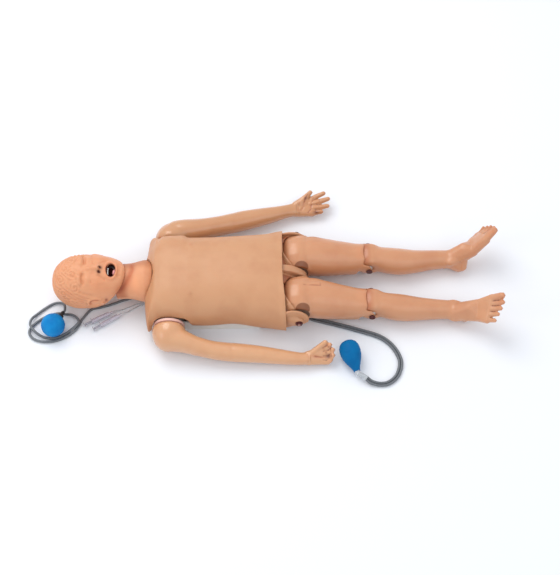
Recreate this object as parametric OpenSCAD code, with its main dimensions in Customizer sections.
// A child-sized airway training manikin lying on its back, with two squeeze bulbs,
// their tubes and two small syringes.
// x runs from the head to the feet, y to the manikin's left, z up from the floor.

/* [Torso] */
// width of the torso skin at the chest
torso_w = 230; // [226:1:234]
// height of the torso skin above the floor
torso_t = 126; // [124:1:128]
// wall of the torso skin
skin_t = 4; // [3:0.5:5]
// where the skin ends at the hips
hem_x = 168; // [166:1:170]
// radius of the pink band round each shoulder
band_r = 38; // [36:1:39]
// how far a pink band stands out past the chest
band_out = 3; // [2:1:4]

/* [Head and neck] */
// radius of the neck
neck_r = 43; // [41:1:43]
// radius of the neck's ball at the torso
neck_ball_r = 53.5; // [52:0.5:53.5]
// half width of the mouth opening
mouth_w = 17; // [14:1:18]

/* [Limbs] */
// radius of the ball at the top of a thigh
hip_ball_r = 48; // [45:1:49]
// radius of the recess for the hip pad
hip_pad_r = 27; // [25:1:28]
// radius of the ball at a knee
knee_ball_r = 34; // [32:1:34]
// radius of the hip and knee bolts
bolt_r = 4; // [3:0.5:5]

/* [Bulbs and tubes] */
// diameter of the round bulb
bulb_d = 58; // [54:1:58]
// diameter of a grey tube
tube_d = 6.4; // [5:0.2:6.6]
// diameter of a clear line
line_d = 2.4; // [2:0.2:2.6]

/* [Syringes] */
// outer diameter of a syringe barrel
barrel_d = 10; // [9:0.5:10.5]
// length of a syringe barrel
barrel_len = 48; // [46:1:50]

/* [Hidden] */
$fn = 32;
eps = 0.01;

// colours
skin_tan = [0.85, 0.65, 0.50];
head_tan = [0.93, 0.69, 0.53];
arm_tan = [0.83, 0.58, 0.40];
leg_tan = [0.82, 0.60, 0.46];
pink = [0.90, 0.70, 0.65];
brown = [0.40, 0.30, 0.22];
dark_red = [0.30, 0.12, 0.10];
white = [0.92, 0.92, 0.90];
steel = [0.70, 0.71, 0.73];
blue = [0.05, 0.42, 0.70];
black = [0.06, 0.06, 0.07];
grey = [0.52, 0.53, 0.55];
clear = [0.85, 0.88, 0.90];

// turning points
tilt_x = -183;
neck_y = 0;
neck_z = 64;
shoulder_x = -112;
shoulder_z = 42;
hip_x = 203;
hip_y = 58;
hip_z = 64;
knee_x = 382;
knee_y = 64;
knee_z = 44;
ankle_z = 31;
gap = 0.5;
// play between a turning shaft and its bore
run = 0.05;
// extra radius of a many-sided bore round a round piece
bore_play = 0.1;
half_w = torso_w / 2;
band_y = half_w + band_out;
// half width of a hip seat, and where its pads lie
seat_w = 45;
hip_pad_y = seat_w - 3;

// a smooth curve through a list of rows, each row a list of numbers
function smooth_row(p, q, r, s, t) = (2 * q + (r - p) * t + (2 * p - 5 * q + 4 * r - s) * t * t
    + (3 * q - p - 3 * r + s) * t * t * t) / 2;
function smooth_rows(rows, n) = [for (i = [0:len(rows) - 2]) for (k = [0:n - 1])
    smooth_row(rows[max(i - 1, 0)], rows[i], rows[i + 1], rows[min(i + 2, len(rows) - 1)], k / n),
    rows[len(rows) - 1]];
function signed_pow(v, e) = sign(v) * pow(abs(v), e);

// one closed section: row is [x, y, z, half width, rise, drop, squareness, lean]
function section(r, n) = [for (i = [0:n - 1]) let (a = 360 * i / n,
    w = signed_pow(cos(a), 2 / r[6]) * r[3],
    h = signed_pow(sin(a), 2 / r[6]) * (sin(a) > 0 ? r[4] : r[5]))
    [r[0] + h * sin(r[7]), r[1] + w, r[2] + h * cos(r[7])]];

// triangles that join rings of n points each, with closed ends
function ring_faces(rings, n) = concat(
    [for (k = [0:rings - 2]) for (i = [0:n - 1]) [k * n + i, (k + 1) * n + i, k * n + (i + 1) % n]],
    [for (k = [0:rings - 2]) for (i = [0:n - 1])
        [k * n + (i + 1) % n, (k + 1) * n + i, (k + 1) * n + (i + 1) % n]],
    [for (i = [1:n - 2]) [0, i, i + 1]],
    [for (i = [1:n - 2]) [(rings - 1) * n, (rings - 1) * n + i + 1, (rings - 1) * n + i]]);

module loft(rows, n) {
    pts = [for (r = rows) for (p = section(r, n)) p];
    polyhedron(points = pts, faces = ring_faces(len(rows), n), convexity = 6);
}

// a round tube swept along points, each ring square to the path
function unit(v) = v / norm(v);
function tangent(p, i) = unit(p[min(i + 1, len(p) - 1)] - p[max(i - 1, 0)]);
function side_of(t) = abs(t[2]) > 0.98 ? [0, 1, 0] : unit(cross([0, 0, 1], t));
module swept(p, r, n) {
    pts = [for (i = [0:len(p) - 1]) let (t = tangent(p, i), s = side_of(t), u = cross(t, s))
        for (k = [0:n - 1]) p[i] + r * (cos(360 * k / n) * s + sin(360 * k / n) * u)];
    polyhedron(points = pts, faces = ring_faces(len(p), n), convexity = 10);
}

// a chain of round blobs, each [x, y, z, radius], joined two by two
module chain(blobs, n) {
    for (i = [0:len(blobs) - 2]) {
        hull() {
            translate([blobs[i][0], blobs[i][1], blobs[i][2]])
                sphere(r = blobs[i][3], $fn = n);
            translate([blobs[i + 1][0], blobs[i + 1][1], blobs[i + 1][2]])
                sphere(r = blobs[i + 1][3], $fn = n);
        }
    }
}

// cylinders along each axis, from one end to the other
module bar_x(a, b, r) {
    translate([a, 0, 0])
        rotate([0, 90, 0])
            cylinder(h = b - a, r = r);
}
module bar_y(a, b, r) {
    translate([0, b, 0])
        rotate([90, 0, 0])
            cylinder(h = b - a, r = r);
}

// a solid turned about the y axis from points [radius, y]
module turned_y(profile) {
    rotate([-90, 0, 0])
        rotate_extrude($fn = 48)
            polygon(profile);
}

module mirrored(left) {
    if (left) {
        children();
    } else {
        mirror([0, 1, 0])
            children();
    }
}

// torso
// rows of the skin: side x, middle x, half width, top, hem height, centre height,
// inward wall, endward wall
function skin_rows() = [
    [hem_x, hem_x - 3, half_w + 13, torso_t - 3, 28, 45, skin_t, 0],
    [156, 154, half_w + 11.5, torso_t - 1, 29, 45, skin_t, 0],
    [125, 125, half_w + 7, torso_t + 1, 32, 45, skin_t, 0],
    [60, 60, half_w + 3, torso_t + 1, 36, 45, skin_t, 0],
    [10, 10, half_w + 1, torso_t, 39, 45, skin_t, 0],
    [-35, -35, half_w, torso_t, 42, 46, skin_t, 0],
    [-56, -56, half_w, torso_t, 47, 46, skin_t, 0],
    [-64, -64, half_w, torso_t, 66, 46, skin_t, 0],
    [-76, -76, half_w, torso_t - 1, 78, 46, skin_t, 0],
    [-92, -92, half_w, torso_t - 2, 84, 46, skin_t, 0],
    [-112, -112, half_w, torso_t - 3, 86, 46, skin_t, 0],
    [-130, -128, half_w - 1, torso_t - 5, 83, 46, skin_t, 0],
    [-144, -138, half_w + 1, torso_t - 8, 72, 46, skin_t, 0],
    [-151, -143, half_w + 3, torso_t - 10, 50, 44, skin_t, 0],
    [-157, -146, half_w + 6, torso_t - 13, 23, 42, skin_t - 1, 2],
    [-164, -148, half_w + 7, torso_t - 16, 9, 40, 2, 3],
    [-168, -149, half_w - 20, torso_t - 18, 36, 50, 1, 4],
    [-171, -149.5, 54, torso_t - 19, 46, 60, 0, 5]];
function skin_sq(r) = r[2] < 60 ? 2.25 : r[2] < half_w - 20 ? 2.4 : 2.7;
skin_n = 20;
function hem_angle(r) = r[4] < r[5]
    ? -asin(pow((r[5] - r[4]) / r[5], skin_sq(r) / 2))
    : asin(pow((r[4] - r[5]) / (r[3] - r[5]), skin_sq(r) / 2));
function skin_point(r, i, inside) = let (a0 = hem_angle(r), a = a0 + (180 - 2 * a0) * i / skin_n,
    w = r[2] - (inside ? r[6] : 0), t = r[3] - (inside ? r[6] : 0), s = sin(a))
    [r[0] + (r[1] - r[0]) * max(s, 0) * max(s, 0) + (inside ? r[7] : 0),
     signed_pow(cos(a), 2 / skin_sq(r)) * w,
     r[5] + signed_pow(s, 2 / skin_sq(r)) * (s > 0 ? t - r[5] : r[5])];
module torso_skin() {
    rows = skin_rows();
    m = skin_n + 1;
    n = 2 * m;
    pts = [for (r = rows) for (i = [0:n - 1])
        i < m ? skin_point(r, i, false) : skin_point(r, n - 1 - i, true)];
    last = (len(rows) - 1) * n;
    walls = [for (k = [0:len(rows) - 2]) for (i = [0:n - 1]) for (h = [0, 1])
        h == 0 ? [k * n + i, k * n + (i + 1) % n, (k + 1) * n + i]
            : [k * n + (i + 1) % n, (k + 1) * n + (i + 1) % n, (k + 1) * n + i]];
    ends = [for (i = [0:m - 2]) for (h = [0:3])
        h == 0 ? [i, n - 1 - i, i + 1]
        : h == 1 ? [i + 1, n - 1 - i, n - 2 - i]
        : h == 2 ? [last + i, last + i + 1, last + n - 1 - i]
        : [last + i + 1, last + n - 2 - i, last + n - 1 - i]];
    color(skin_tan)
        mirror([0, 1, 0])
            polyhedron(points = pts, faces = concat(walls, ends), convexity = 10);
}

// the stiff tub that the manikin lies on
tub_x0 = -150;
tub_x1 = 108;
tub_w = half_w - 12;
tub_h = 36;
tub_wall = 4;
gland_y = -6;
line_y = -28;
gland_z = 11;
gland_r = 5.5;
// bolts that hold the tub to the pelvis
waist_y = 70;
waist_z = 24;
waist_r = 3;
module tub_outline(inset) {
    translate([tub_x0 + inset, -tub_w + inset])
        square([tub_x1 - tub_x0 - 2 * inset, 2 * (tub_w - inset)]);
}
module back_shell() {
    color(white)
        difference() {
            linear_extrude(tub_h)
                tub_outline(0);
            translate([0, 0, tub_wall])
                linear_extrude(tub_h)
                    tub_outline(tub_wall);
            // notches for the shoulder bushes and holes for the waist bolts
            translate([shoulder_x - bush_out - 1, -tub_w - 1, shoulder_z - bush_out - 1])
                cube([2 * bush_out + 2, 2 * tub_w + 2, 2 * bush_out]);
            for (s = [-1, 1]) {
                translate([tub_x1 - tub_wall - 1, s * waist_y, waist_z])
                    bar_x(0, tub_wall + 2, waist_r + 0.1);
            }
            // ways out for the head tube and the two clear lines
            translate([tub_x0, gland_y, gland_z])
                bar_x(-eps, tub_wall + eps, gland_r + run);
            translate([tub_x0, line_y, gland_z])
                bar_x(-eps, tub_wall + eps, gland_r + run);
        }
}

// pelvis: a block with three prongs and a round seat for each thigh
prong_r = 12;
prong_in = hip_y + seat_w + 4;
prong_out = half_w + 9.5;
stud_x = 125;
stud_z = 50;
stud_r = 6;
stud_y = half_w + 7 - skin_t + 0.2;
// outline of the pelvis where it fills the skin, right half: [y, z]
pelvis_side = [[half_w - 11, 5], [half_w - 3, 20], [half_w - 1, 60], [half_w - 5, 75],
    [half_w - 16, 91], [half_w - 30, 101], [half_w - 47, 108]];
module pelvis_slab(side) {
    translate([150, 0, 0])
        rotate([90, 0, 90])
            linear_extrude(6)
                polygon(side);
}
module pelvis_prong() {
    hull() {
        translate([hip_x, 0, hip_z])
            bar_y(prong_in, prong_out, prong_r);
        pelvis_slab(concat(pelvis_side, [[80, 60]]));
    }
}
module hip_seat(r, w) {
    turned_y([[0, -w], [r * 0.66, -w], [r * 0.86, -w * 0.72], [r * 0.97, -w * 0.36], [r, 0],
        [r * 0.97, w * 0.36], [r * 0.86, w * 0.72], [r * 0.66, w], [0, w]]);
}
module pelvis() {
    color(skin_tan)
        difference() {
            union() {
                translate([tub_x1 + gap, 0, 0])
                    rotate([90, 0, 90])
                        linear_extrude(48)
                            polygon(concat(pelvis_side, [for (i = [6:-1:0])
                                [-pelvis_side[i][0], pelvis_side[i][1]]]));
                pelvis_prong();
                mirror([0, 1, 0])
                    pelvis_prong();
                // two studs that carry the skin
                translate([stud_x, 0, stud_z]) {
                    bar_y(100, stud_y, stud_r);
                    bar_y(-stud_y, -100, stud_r);
                }
                hull() {
                    translate([hip_x, 0, hip_z])
                        bar_y(-13, 13, prong_r);
                    translate([150, -40, 8])
                        cube([6, 80, 104]);
                }
            }
            for (s = [-1, 1]) {
                translate([hip_x, s * hip_y, hip_z])
                    hip_seat(hip_ball_r + 2, seat_w);
                translate([hip_x, s * 65, hip_z])
                    bar_y(-65, 65, bolt_r);
                translate([tub_x1, s * waist_y, waist_z])
                    bar_x(0, 10, waist_r + 0.1);
            }
        }
}
module waist_bolts() {
    color(steel)
        for (s = [-1, 1]) {
            translate([tub_x1 - tub_wall - 3, s * waist_y, waist_z])
                bar_x(0, 3, 2 * waist_r);
            translate([tub_x1 - tub_wall, s * waist_y, waist_z])
                bar_x(0, 12, waist_r);
        }
}

// bolt through a hip, with its head outside and its nut in the middle prong
module hip_bolt() {
    color(dark_red)
        translate([hip_x, 0, hip_z]) {
            bar_y(2, prong_out + 1, bolt_r);
            bar_y(prong_out, prong_out + 2, 9);
            bar_y(prong_out + 2, prong_out + 5, 6.5);
        }
}
module left_hip_bolt() {
    hip_bolt();
}
module right_hip_bolt() {
    mirror([0, 1, 0])
        hip_bolt();
}

// shoulders
hub_r = 9;
bush_out = 14;
bush_in = tub_w - 15;
band_in = 6;
hub_end = 18;
module shoulder_band() {
    color(pink)
        difference() {
            translate([shoulder_x, 0, shoulder_z])
                bar_y(band_y - band_in, band_y, band_r);
            translate([shoulder_x, 0, shoulder_z])
                bar_y(band_y - band_in - 1, band_y + 1, bush_out);
        }
}
module shoulder_bush() {
    color(white)
        difference() {
            union() {
                translate([shoulder_x, 0, shoulder_z])
                    bar_y(bush_in, band_y, bush_out);
                translate([shoulder_x - bush_out, bush_in, tub_wall])
                    cube([2 * bush_out, 10, shoulder_z - tub_wall]);
            }
            translate([shoulder_x, 0, shoulder_z])
                bar_y(bush_in - 1, band_y + 1, hub_r + run);
        }
}
module left_shoulder_band() {
    shoulder_band();
}
module right_shoulder_band() {
    mirror([0, 1, 0])
        shoulder_band();
}
module left_shoulder_bush() {
    shoulder_bush();
}
module right_shoulder_bush() {
    mirror([0, 1, 0])
        shoulder_bush();
}

// the shaft on an arm, and the nut on its inner end
module arm_hub() {
    color(steel)
        translate([shoulder_x, 0, shoulder_z])
            bar_y(bush_in - 10, band_y + hub_end, hub_r);
}
module arm_nut() {
    color(steel)
        difference() {
            translate([shoulder_x, 0, shoulder_z])
                bar_y(bush_in - 8, bush_in - 0.4, 15);
            translate([shoulder_x, 0, shoulder_z])
                bar_y(bush_in - 9, bush_in + 1, hub_r);
        }
}
module left_arm_hub() {
    arm_hub();
}
module right_arm_hub() {
    mirror([0, 1, 0])
        arm_hub();
}
module left_arm_nut() {
    arm_nut();
}
module right_arm_nut() {
    mirror([0, 1, 0])
        arm_nut();
}

// arms: one moulding each, from the shoulder cap to the fingertips, drawn with y from the
// pink band's outer face
left_cap_end = [[40, 12], [38, 22], [34, 32], [28, 41], [20, 49], [11, 54], [0, 56]];
right_cap_end = [[40.5, 13], [39.5, 26], [36, 37], [30, 47], [22, 55], [12, 60], [0, 62]];
module arm_cap(end) {
    translate([shoulder_x, 0, shoulder_z])
        turned_y(concat([[0, 0.6], [37, 0.6], [39.5, 4]], end));
}
module left_arm() {
    color(arm_tan)
        translate([0, band_y, 0])
        difference() {
            union() {
                arm_cap(left_cap_end);
                loft(smooth_rows([
                    [-112, 31, 43, 28, 33, 33, 2, 0],
                    [-92, 33, 44, 30.5, 33, 33, 2, 0],
                    [-70, 35, 44, 31, 31, 33, 2, 0],
                    [-38, 42, 42, 27, 27, 29, 2, 0],
                    [10, 53, 38, 25.5, 26, 26, 2, 0],
                    [62, 68, 34, 27, 24, 25, 2, 0],
                    [105, 79, 32, 24.5, 22, 23, 2, 0],
                    [150, 91, 29, 20.5, 18, 20, 2, 0],
                    [184, 102, 26, 17.5, 14, 15, 2.2, 0],
                    [206, 108, 25, 19, 12, 13, 2.2, 0]], 2), 14);
                hull() {
                    chain([[200, 99, 23, 11], [200, 115, 24, 11]], 8);
                    chain([[244, 132, 25, 9], [248, 98, 20, 9]], 8);
                }
                hull() {
                    chain([[204, 118, 27, 11], [222, 128, 31, 11]], 8);
                    chain([[226, 118, 24, 11], [240, 128, 26, 8]], 8);
                }
                chain([[216, 125, 29, 11.7], [232, 138, 36, 8.5], [243, 148, 41, 6.9]], 6);
                chain([[240, 131, 26, 9.5], [258, 142, 30, 7.4], [278, 150, 33, 6.4]], 6);
                chain([[242, 121, 26, 10.1], [268, 128, 29, 8], [289, 134, 31, 6.4]], 6);
                chain([[242, 110, 23, 9.5], [266, 112, 25, 8], [287, 115, 27, 6.4]], 6);
                chain([[240, 100, 20, 9.5], [258, 99, 21, 7.4], [270, 99, 25, 6.4]], 6);
            }
            translate([shoulder_x, 0, shoulder_z])
                bar_y(0, hub_end, hub_r + bore_play);
        }
}
module right_arm() {
    color(arm_tan)
        mirror([0, 1, 0])
            translate([0, band_y, 0])
            difference() {
                union() {
                    arm_cap(right_cap_end);
                    loft(smooth_rows([
                        [-112, 31, 43, 28, 33, 33, 2, 0],
                        [-94, 33, 43, 30, 33, 33, 2, 0],
                        [-76, 38, 43, 28, 31, 32, 2, 0],
                        [-44, 50, 39, 23.5, 25, 27, 2, 0],
                        [-1, 60.5, 34, 22.5, 22.5, 23, 2, 0],
                        [48, 65, 30, 23.5, 22, 22, 2, 0],
                        [95, 68.5, 28, 22, 20, 20, 2, 0],
                        [150, 75, 25, 19.5, 17, 17, 2, 0],
                        [206, 81, 22, 15, 14, 15, 2.2, 0],
                        [228, 79, 22, 15, 14, 15, 2.2, 0]], 2), 14);
                    hull() {
                        chain([[222, 73, 24, 11], [222, 85, 18, 11]], 8);
                        chain([[254, 64, 30, 9], [254, 85, 16, 9]], 8);
                    }
                    chain([[232, 71, 27, 10.6], [252, 58, 38, 8.5], [265, 50, 46, 6.9]], 6);
                    chain([[254, 62, 30, 9.5], [270, 59, 36, 8], [275, 57, 46, 6.9]], 6);
                    chain([[258, 71, 25, 9.5], [276, 69, 29, 8], [282, 67, 39, 6.9]], 6);
                    chain([[258, 80, 19, 9.5], [277, 80, 22, 8], [282, 78, 32, 6.9]], 6);
                    chain([[254, 87, 15, 8.5], [270, 88, 14, 7.4], [277, 86, 22, 6.4]], 6);
                }
                translate([shoulder_x, 0, shoulder_z])
                    bar_y(0, hub_end, hub_r + bore_play);
            }
}

// thighs
module thigh() {
    color(leg_tan)
        difference() {
            union() {
                translate([hip_x, hip_y, hip_z])
                    hip_seat(hip_ball_r, seat_w - 1);
                loft(smooth_rows([
                    [206, 58, 64, 43, 45, 45, 2, 0],
                    [236, 59, 61, 44.5, 46, 47, 2, 0],
                    [275, 60.5, 56, 44.5, 44, 46, 2, 0],
                    [320, 62.5, 50, 41.5, 41, 42, 2, 0],
                    [350, 63.5, 46, 39, 38, 38, 2.2, 0],
                    [372, 64, 44, 37, 37, 35, 2.3, 0],
                    [386, 64, 44, 36.5, 34, 29, 2.3, 0],
                    [397, 64, 43, 34, 22, 18, 2.2, 0]], 2), 20);
            }
            for (s = [-1, 1]) {
                translate([hip_x, hip_y, hip_z])
                    bar_y(s * (hip_pad_y + 7) - 7, s * (hip_pad_y + 7) + 7, hip_pad_r);
            }
            translate([hip_x, hip_y, hip_z])
                bar_y(-hip_pad_y, hip_pad_y, bush_r + bore_play);
            // seat for the lower leg's ball, open in front and behind
            translate([knee_x, knee_y, knee_z])
                knee_ball(knee_ball_r + 1, knee_w + 1);
            translate([knee_x + 22, knee_y, knee_z])
                cylinder(h = 60, r = 37);
            translate([knee_x - 28, knee_y - knee_w - 1, -20])
                cube([60, 2 * knee_w + 2, knee_z + 20]);
            // below the bolt, the cheeks are discs, clear of the calf as the knee bends
            difference() {
                translate([knee_x - 28, knee_y - 50, -20])
                    cube([60, 100, knee_z + 20]);
                translate([knee_x, knee_y, knee_z])
                    bar_y(-60, 60, cheek_r);
            }
            translate([knee_x - 28, knee_y - 50, -20])
                rotate([0, -22, 0])
                    cube([80, 100, 30]);
            translate([knee_x, knee_y, knee_z])
                bar_y(-60, 60, bolt_r + run);
        }
}
bush_r = 8;
knee_w = 29;
cheek_r = 20;
module knee_ball(r, w) {
    turned_y([[0, -w], [r * 0.8, -w], [r * 0.93, -w * 0.7], [r, -w * 0.3],
        [r, w * 0.3], [r * 0.93, w * 0.7], [r * 0.8, w], [0, w]]);
}
module left_thigh() {
    thigh();
}
module right_thigh() {
    mirror([0, 1, 0])
        thigh();
}
module hip_pads() {
    color(brown)
        for (s = [-1, 1]) {
            difference() {
                translate([hip_x, hip_y, hip_z])
                    bar_y(s * (hip_pad_y + 0.9) - 0.9, s * (hip_pad_y + 0.9) + 0.9, hip_pad_r - 0.5);
                translate([hip_x, hip_y, hip_z])
                    bar_y(-60, 60, bush_r);
            }
        }
}
module left_hip_pads() {
    hip_pads();
}
module right_hip_pads() {
    mirror([0, 1, 0])
        hip_pads();
}
module hip_bush() {
    color(white)
        difference() {
            translate([hip_x, hip_y, hip_z])
                bar_y(-hip_pad_y - 2, hip_pad_y + 2, bush_r);
            translate([hip_x, hip_y, hip_z])
                bar_y(-60, 60, bolt_r + run);
        }
}
module left_hip_bush() {
    hip_bush();
}
module right_hip_bush() {
    mirror([0, 1, 0])
        hip_bush();
}
module knee_bolt() {
    color(dark_red)
        translate([knee_x, knee_y, knee_z]) {
            bar_y(-38, 38, bolt_r);
            for (s = [-1, 1]) {
                bar_y(s * 38.5 - 1.5, s * 38.5 + 1.5, 7.5);
            }
        }
}
module left_knee_bolt() {
    knee_bolt();
}
module right_knee_bolt() {
    mirror([0, 1, 0])
        knee_bolt();
}

// lower legs and feet
// shape of a lower leg: [x, z, half width, rise, drop, squareness]
calf_rows = [[388, 44, 27.5, 31, 29, 2.2], [402, 43, 28.5, 32, 31, 2.2], [424, 40, 32.5, 33, 33, 2],
    [460, 37, 33.5, 32.5, 33, 2], [500, 34, 28.5, 29, 29, 2], [548, 31, 24, 25, 25, 2],
    [585, 30, 22, 23, 24, 2], [600, 31, 17, 20, 18, 2]];
// the two legs do not lie alike: y of each row, then the foot's y, turn and reach
left_calf_y = [63.5, 63, 60, 57.5, 58.5, 64.5, 66, 66];
left_foot = [61, 33, 2];
right_calf_y = [65, 65, 70, 73.5, 75.5, 76, 77.5, 79];
right_foot = [81, 20, 0];
module foot(at) {
    // drawn upright about the ankle, then turned outward
    translate([at[2], at[0], ankle_z])
        rotate([-at[1], 0, 0]) {
            hull() {
                chain([[590, 1, 0, 22], [607, 3, -9, 23]], 8);
            }
            chain([[582, -19, 4, 10], [596, -13, 7, 11]], 8);
            chain([[580, 18, 3, 10], [596, 16, 6, 12]], 8);
            hull() {
                chain([[614, -5, -12, 15], [613, 13, -12, 15]], 8);
                chain([[618, -6, 12, 12], [617, 15, 10, 12]], 8);
            }
            hull() {
                chain([[618, -6, 12, 12], [617, 15, 10, 12]], 8);
                chain([[640, -11, 30, 13], [636, 20, 28, 12]], 8);
            }
            hull() {
                chain([[590, 3, 6, 23], [618, -1, 32, 17]], 8);
                chain([[640, -11, 32, 13], [636, 20, 30, 12]], 8);
            }
            hull() {
                chain([[640, -11, 32, 13], [636, 20, 30, 12]], 8);
                chain([[668, -19, 66, 12], [655, 31, 55, 10]], 8);
            }
            chain([[666, -19, 66, 11], [678, -21, 80, 9.5], [687, -22, 92, 9]], 6);
            chain([[668, -6, 68, 8.5], [680, -6, 80, 7], [688, -6, 91, 6.4]], 6);
            chain([[664, 6, 66, 8.5], [676, 7, 77, 6.6], [683, 8, 87, 6]], 6);
            chain([[660, 18, 61, 8.5], [670, 20, 71, 6.4], [677, 21, 80, 5.8]], 6);
            chain([[656, 30, 55, 8.5], [664, 33, 63, 6.4], [670, 35, 72, 5.8]], 6);
        }
}
module lower_leg(ys, at) {
    color(leg_tan)
        difference() {
            union() {
                translate([knee_x, knee_y, knee_z])
                    knee_ball(knee_ball_r, knee_w);
                loft(smooth_rows([for (i = [0:len(calf_rows) - 1]) let (r = calf_rows[i])
                    [r[0], ys[i], r[1], r[2], r[3], r[4], r[5], 0]], 2), 16);
                foot(at);
            }
            translate([knee_x, knee_y, knee_z])
                bar_y(-knee_w - 1, knee_w + 1, bush_r + bore_play);
        }
}
module left_lower_leg() {
    lower_leg(left_calf_y, left_foot);
}
module right_lower_leg() {
    mirror([0, 1, 0])
        lower_leg(right_calf_y, right_foot);
}
module knee_bush() {
    color(white)
        difference() {
            translate([knee_x, knee_y, knee_z])
                bar_y(-knee_w - 0.5, knee_w + 0.5, bush_r);
            translate([knee_x, knee_y, knee_z])
                bar_y(-60, 60, bolt_r + run);
        }
}
module left_knee_bush() {
    knee_bush();
}
module right_knee_bush() {
    mirror([0, 1, 0])
        knee_bush();
}

// chest, seen only with the skin off
chest_x = -30;
post_r = 9;
spring_r = 16;
module spring_post() {
    color(white)
        translate([chest_x, 0, tub_wall]) {
            cylinder(h = 62, r = post_r);
            cylinder(h = 4, r = 24);
        }
}
module chest_plate() {
    color(white)
        intersection() {
            difference() {
                translate([0, 0, -46])
                    bar_x(-118, 62, 160);
                translate([0, 0, -46])
                    bar_x(-119, 63, 156);
            }
            translate([-118, -78, 60])
                cube([180, 156, 70]);
        }
}
module spring_guide() {
    color(white)
        difference() {
            translate([chest_x, 0, 60])
                cylinder(h = 49.4, r = post_r + 3);
            translate([chest_x, 0, 59])
                cylinder(h = 47, r = post_r + run);
        }
}
spring_z0 = tub_wall + 4.2;
spring_z1 = 111;
spring_turns = 4;
module chest_spring() {
    color(steel)
        swept([for (i = [0:spring_turns * 9])
            [chest_x + spring_r * cos(40 * i), spring_r * sin(40 * i),
             spring_z0 + 2 + (spring_z1 - spring_z0 - 6) * i / (spring_turns * 9)]], 1.6, 5);
}
bag_r = 9;
// height at which a bag lies on the floor of the tub
bag_z = tub_wall + bag_r * cos(22.5);
lung_y = tub_w - tub_wall - bag_r - 10;
module lung() {
    color(pink)
        hull() {
            chain([for (p = [[-80, 34], [-72, lung_y - 6], [20, lung_y], [40, 40]])
                [p[0], p[1], bag_z, bag_r]], 8);
        }
}
module left_lung() {
    lung();
}
module right_lung() {
    mirror([0, 1, 0])
        lung();
}
module stomach_bag() {
    color(pink)
        hull() {
            chain([for (p = [[66, -30], [90, 20], [62, 50]]) [p[0], p[1], bag_z, bag_r]], 8);
        }
}
module airway_tree() {
    color(clear)
        union() {
            translate([0, 0, 26])
                bar_x(bracket_x + bracket_t, -98, 7);
            chain([[-98, 0, 26, 7], [-84, 20, 22, 5]], 8);
            chain([[-98, 0, 26, 7], [-84, -20, 22, 5]], 8);
        }
}

// neck
pin_r = 5;
bracket_x = tub_x0 + tub_wall + 0.2;
bracket_t = 13;
bracket_top = 64;
module neck_bracket() {
    color(white)
        difference() {
            union() {
                translate([bracket_x, -32, tub_wall])
                    cube([bracket_t, 64, bracket_top - tub_wall]);
                for (s = [-1, 1]) {
                    hull() {
                        translate([tilt_x, 0, neck_z])
                            bar_y(s * 23 - 4, s * 23 + 4, 11);
                        translate([bracket_x + 2, s * 23 - 4, 44])
                            cube([6, 8, bracket_top - 44]);
                    }
                }
            }
            translate([tilt_x, 0, neck_z])
                bar_y(-40, 40, pin_r);
        }
}
module neck_pin() {
    color(steel)
        translate([tilt_x, 0, neck_z]) {
            bar_y(-30, 30, pin_r);
            bar_y(27.2, 30, 8);
            bar_y(-30, -27.2, 8);
        }
}
module neck_column() {
    color(white)
        difference() {
            union() {
                translate([tilt_x, 0, neck_z])
                    bar_y(-18.7, 18.7, 13);
                translate([0, 0, neck_z]) {
                    bar_x(-262, tilt_x, 12);
                    bar_x(-303, -261, 8);
                    bar_x(-303, -300, 11);
                }
            }
            translate([tilt_x, 0, neck_z])
                bar_y(-20, 20, pin_r + run);
        }
}
module neck_sleeve() {
    color(head_tan)
        translate([0, neck_y, neck_z])
            rotate([0, 90, 0])
                rotate_extrude($fn = 64)
                    polygon([[12, -240], [neck_r - 1, -240], [neck_r, -238], [neck_r, -216],
                        [neck_r + 1.5, -202], [neck_r + 4.3, -190], [neck_r + 7, -180],
                        [neck_ball_r - 1.8, -170], [neck_ball_r - 3.6, -163.5],
                        [neck_ball_r - 6.6, -157.5], [neck_ball_r - 11.6, -150.5],
                        [neck_ball_r - 15, -151], [neck_ball_r - 8, -164],
                        [neck_r + 3, -180], [neck_r - 3, -202], [neck_r - 4, -216],
                        [neck_r - 4, -235], [12, -235]]);
}

// head
head_n = 32;
head_rows = smooth_rows([
    [-396, 0, 70, 10, 10, 10, 2, 0],
    [-392, 0, 70, 27, 25, 26, 2, 0],
    [-382, 0, 69, 42, 42, 44, 2, 0],
    [-365, 0, 68, 55, 56, 58, 2, 0],
    [-345, 0, 67, 63, 63, 64, 2, 0],
    [-322, 0, 67, 65.5, 65, 65, 2.05, 0],
    [-300, 0, 67, 65, 62, 64, 2.1, 0],
    [-282, 0, 68, 62.5, 61, 60, 2.1, 4],
    [-266, 0, 69, 58.5, 58, 53, 2.05, 10],
    [-255, 0, 69, 54, 57, 47, 2, 20],
    [-249, 0, 69, 49, 55, 43, 2, 30],
    [-246, 0, 69, 43, 49, 40, 2, 38],
    [-245, 0, 69, 34, 38, 34, 2, 42]], 2);
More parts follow.
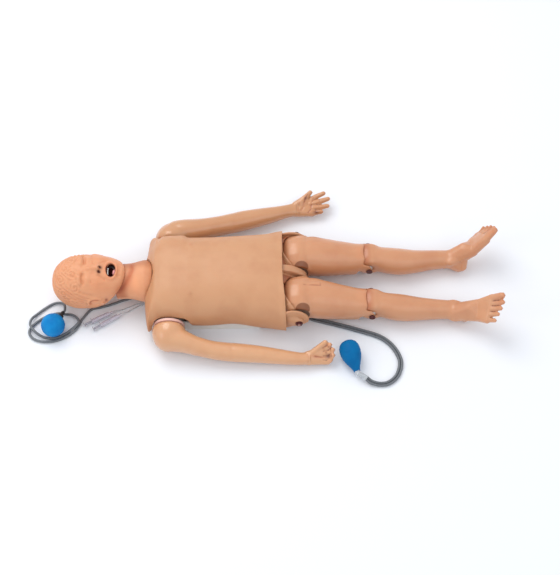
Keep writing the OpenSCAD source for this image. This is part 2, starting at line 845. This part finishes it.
// soft bumps and hollows of the face: [x, y, length, width, height]
face = [[-288, 0, 13, 8, 7], [-277, 0, 7, 8, 8], [-274, 9, 6, 5, 4], [-274, -9, 6, 5, 4],
    [-321, 23, 7, 15, 2.5], [-321, -23, 7, 15, 2.5], [-309, 25, 7, 12, -4], [-309, -25, 7, 12, -4],
    [-308, 25, 5, 8, 3], [-308, -25, 5, 8, 3], [-278, 33, 16, 13, 3], [-278, -33, 16, 13, 3],
    [-262, 0, 4, 14, 2], [-235, 0, 5, 14, 2.5], [-222, 0, 8, 16, 3]];
ones = [for (f = face) 1];
function bump(x, y) = ones * [for (f = face) f[4] * exp(-pow((x - f[0]) / f[2], 2)
    - pow((y - f[1]) / f[3], 2))];
function face_point(p) = p[2] < 95 ? p : [p[0], p[1], p[2] + bump(p[0], p[1])];
module ear() {
    chain([[-292, 60, 86, 3], [-307, 62, 79, 3.4], [-306, 64, 66, 3.6], [-291, 63, 60, 3.5],
        [-279, 61, 64, 3.4], [-273, 58.5, 72, 4]], 6);
    hull() {
        chain([[-300, 60, 74, 4], [-284, 59, 70, 4]], 6);
    }
}
mouth_x = -249;
mouth_z = 110;
module head() {
    pts = [for (r = head_rows) for (p = section(r, head_n)) face_point(p)];
    color(head_tan)
        difference() {
            union() {
                polyhedron(points = pts, faces = ring_faces(len(head_rows), head_n), convexity = 8);
                ear();
                mirror([0, 1, 0])
                    ear();
            }
            translate([0, 0, neck_z]) {
                bar_x(-241, -180, neck_r + 1.5);
                bar_x(-300, -240, 20 + bore_play + run);
                bar_x(-307, -299, 14);
            }
            // mouth and throat
            hull() {
                for (s = [-1, 1]) {
                    translate([mouth_x, s * (mouth_w - 9), mouth_z])
                        cylinder(h = 40, r = 10);
                }
            }
            translate([mouth_x - 4, 0, 80])
                cylinder(h = 40, r = 6);
        }
}
module head_bearing() {
    color(white)
        difference() {
            translate([0, 0, neck_z])
                bar_x(-299.7, -262.3, 20);
            translate([0, 0, neck_z])
                bar_x(-310, -250, 8 + run);
        }
}
module upper_teeth() {
    color(white)
        translate([mouth_x - 10, -7.5, mouth_z + 4])
            cube([3, 15, 8]);
}
module lower_gum() {
    color(pink)
        translate([mouth_x + 6.5, -7, mouth_z])
            cube([3.5, 14, 10]);
}
module tongue() {
    color(pink)
        translate([mouth_x + 1, 0, mouth_z]) {
            cylinder(h = 4, r1 = 5.2, r2 = 4);
        }
}

// round bulb on the head tube
bulb_at = [-396, -99, bulb_d / 2 + 0.2];
joint_aim = unit([19, 34.4, -7]);
module round_bulb() {
    color(blue)
        translate(bulb_at)
            sphere(d = bulb_d, $fn = 40);
}
module along(p, v) {
    translate(p)
        rotate([0, acos(v[2]), atan2(v[1], v[0])])
            children();
}
module round_bulb_joint() {
    color(black)
        along(bulb_at + joint_aim * (bulb_d / 2 + 0.1), joint_aim) {
            cylinder(h = 5, r = 8);
            cylinder(h = 16, r = 5);
        }
}
tube_z = tube_d / 2 + 0.8;
over_z = tube_z + tube_d + 0.6;
head_tube_path = concat([[tub_x0 - 8.2, gland_y, gland_z], [-163, gland_y, gland_z],
    [-173, -7, 8], [-192, -10, tube_z]],
    [for (p = [[-212, -15], [-232, -21], [-250, -28], [-270, -35], [-290, -40], [-307, -44],
        [-317, -53], [-325, -64], [-333, -77], [-338, -90], [-348, -104], [-365, -118],
        [-386, -128], [-408, -132], [-429, -130], [-446, -123], [-456, -111], [-457, -99],
        [-450, -87], [-438, -75], [-425, -66], [-408, -58], [-390, -54]]) [p[0], p[1], tube_z]],
    [[-372, -57, tube_z + 1], [-356, -61, over_z - 2], [-344, -69, over_z], [-337, -81, over_z],
     [-344, -93, over_z], [-354, -101, over_z - 3], [-366, -109, tube_z], [-382, -118, tube_z],
     [-400, -123, tube_z], [-420, -120, tube_z + 1], [-437, -111, over_z - 2],
     [-449, -99, over_z], [-456, -85, over_z], [-453, -70, over_z - 2], [-443, -57, tube_z + 1],
     [-425, -41, tube_z], [-408, -29, tube_z], [-394, -25, tube_z + 1], [-382, -28, tube_z + 4],
     [-374.5, -36, tube_z + 9], [-372, -47, tube_z + 14]],
    [bulb_at + joint_aim * (bulb_d / 2 + 22), bulb_at + joint_aim * (bulb_d / 2 + 16.3)]);
module head_tube() {
    color(grey)
        swept(head_tube_path, tube_d / 2, 8);
}
module gland(x, y, z, r) {
    translate([x, y, z]) {
        bar_x(-8, 4, r);
        bar_x(-4, -0.2, r + 2);
    }
}
module head_tube_gland() {
    color(black)
        gland(tub_x0, gland_y, gland_z, gland_r);
}

// pear bulb on the leg tubes
pear_from = [317, -156.6, 29.2];
pear_aim = unit([23.6, -81, -9]);
pear_len = 81.5;
module pear_bulb() {
    color(blue)
        along(pear_from, pear_aim)
            rotate_extrude($fn = 40)
                polygon([[0, 0], [8, 1], [15, 4], [20.5, 9], [24, 16], [25.3, 24], [25.3, 32],
                    [23.8, 42], [20.3, 52], [15.5, 62], [11.5, 70], [8.5, 77], [8, pear_len],
                    [0, pear_len]]);
}
pear_end = pear_from + pear_aim * pear_len;
leg_tube_start = [362, -250, 12];
module pear_bulb_joint() {
    color(clear)
        swept([pear_end + pear_aim * 0.2, pear_end + pear_aim * 6, leg_tube_start - [7.2, -4.8, -2.4],
            leg_tube_start], 6.6, 10);
}
leg_tube_path = concat([leg_tube_start, [374, -258, 8]],
    [for (p = [[392, -262], [410, -261], [425, -253], [437, -240], [445, -221], [447, -201],
        [441, -180], [430, -161], [416, -146], [400, -135], [382, -127], [364, -121], [346, -115],
        [328, -109], [308, -103], [288, -97], [268, -91], [248, -85], [228, -78]])
        [p[0], p[1], tube_z]], [[208, -71, tube_z], [190, -65, tube_z + 2],
        [174, -62, 12], [166, -62, 12]]);
function beside(p, d) = [for (i = [0:len(p) - 1]) p[i] + d * side_of(tangent(p, i))];
module leg_tubes() {
    color(grey)
        for (s = [-1, 1]) {
            swept(beside(leg_tube_path, s * (tube_d / 2 + 0.1)), tube_d / 2, 8);
        }
}
module leg_tube_gland() {
    color(black)
        translate([tub_x1 + gap + 48, -72, 8])
            cube([9.2, 20, 10]);
}

// syringes
syringe_z = 8.3;
syringe_a = [-306, -80.5, 27];
syringe_b = [-283.5, -91, 31];
module at_syringe(s) {
    translate([s[0], s[1], syringe_z])
        rotate([0, 0, s[2]])
            children();
}
module barrel(s) {
    color(clear)
        at_syringe(s) {
            difference() {
                union() {
                    bar_x(0, barrel_len, barrel_d / 2);
                    bar_x(0, 1.6, 7.8);
                    bar_x(barrel_len - eps, barrel_len + 9, 2.4);
                }
                bar_x(-1, barrel_len - 1.5, barrel_d / 2 - 0.8);
            }
        }
}
module plunger(s) {
    color(black)
        at_syringe(s) {
            bar_x(barrel_len - 24, barrel_len - 18, barrel_d / 2 - 0.85);
            translate([-19, -2.6, -0.7])
                cube([barrel_len - 5.5, 5.2, 1.4]);
            translate([-19, -0.7, -2.6])
                cube([barrel_len - 5.5, 1.4, 5.2]);
            bar_x(-20.5, -19, 6.5);
        }
}
module syringe_a_barrel() {
    barrel(syringe_a);
}
module syringe_a_plunger() {
    plunger(syringe_a);
}
module syringe_b_barrel() {
    barrel(syringe_b);
}
module syringe_b_plunger() {
    plunger(syringe_b);
}
// a point on a syringe's axis, ahead of its barrel
function tip_of(s, ahead) = [s[0] + (barrel_len + ahead) * cos(s[2]),
    s[1] + (barrel_len + ahead) * sin(s[2]), syringe_z];
line_z = line_d / 2 + 0.6;
module syringe_a_line() {
    color(clear)
        swept([tip_of(syringe_a, 9.2), tip_of(syringe_a, 13), [-232, -46, line_z],
            [-218, -39.7, line_z], [-196, -30, line_z], [-176, -27, 6], [-165, line_y + 2, gland_z],
            [tub_x0 - 8.2, line_y + 2, gland_z]], line_d / 2, 8);
}
module syringe_b_line() {
    color(clear)
        swept([tip_of(syringe_b, 9.2), tip_of(syringe_b, 12), [-218, -52, line_z],
            [-207, -45, line_z], [-192, -36.5, line_z], [-176, -32, 6], [-165, line_y - 2, gland_z],
            [tub_x0 - 8.2, line_y - 2, gland_z]], line_d / 2, 8);
}
module line_gland() {
    color(black)
        gland(tub_x0, line_y, gland_z, gland_r);
}

torso_skin();
back_shell();
pelvis();
waist_bolts();
neck_bracket();
neck_pin();
left_shoulder_band();
right_shoulder_band();
left_shoulder_bush();
right_shoulder_bush();
spring_post();
left_lung();
right_lung();
stomach_bag();
airway_tree();
left_hip_bolt();
right_hip_bolt();
chest_plate();
spring_guide();
chest_spring();
neck_sleeve();
neck_column();
head();
head_bearing();
upper_teeth();
lower_gum();
tongue();
left_arm();
right_arm();
left_arm_hub();
right_arm_hub();
left_arm_nut();
right_arm_nut();
left_thigh();
right_thigh();
left_hip_pads();
right_hip_pads();
left_hip_bush();
right_hip_bush();
left_knee_bolt();
right_knee_bolt();
left_lower_leg();
right_lower_leg();
left_knee_bush();
right_knee_bush();
round_bulb();
round_bulb_joint();
head_tube();
head_tube_gland();
pear_bulb();
pear_bulb_joint();
leg_tubes();
leg_tube_gland();
syringe_a_barrel();
syringe_a_plunger();
syringe_b_barrel();
syringe_b_plunger();
syringe_a_line();
syringe_b_line();
line_gland();
